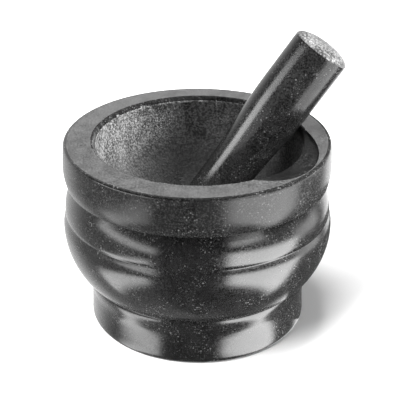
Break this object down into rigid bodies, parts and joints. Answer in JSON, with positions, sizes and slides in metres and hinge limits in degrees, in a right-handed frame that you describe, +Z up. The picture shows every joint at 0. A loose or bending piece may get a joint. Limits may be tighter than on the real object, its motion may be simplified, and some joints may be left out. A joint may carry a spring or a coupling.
{
  "type": "mortar and pestle",
  "caption": "Turned stone mortar with rounded bands, a drum base, a deep round bowl and a pouring lip, and a loose tapered pestle leaning in it, for grinding spices.",
  "frame": {"origin": "centre of the mortar's flat round underside", "axes": "+Z up along the mortar's turning axis, from the underside to the rim; the pestle leans towards +X; the pouring lip is at +X and -Y"},
  "size_m": [0.1705, 0.1638, 0.1751],
  "materials": {
    "mortar_granite": "polished outside, honed rim face, rough pecked bowl",
    "pestle_granite": "polished shaft, rough grinding head"
  },
  "bodies": {
    "mortar": {"mortar": "mortar_granite"},
    "pestle": {"pestle": "pestle_granite"}
  },
  "joints": [
    {"name": "pestle_lift", "type": "slide", "parent": "mortar", "child": "pestle", "axis": [0.5765, 0.0903, 0.8121], "range_m": [0, 0.16]}
  ]
}
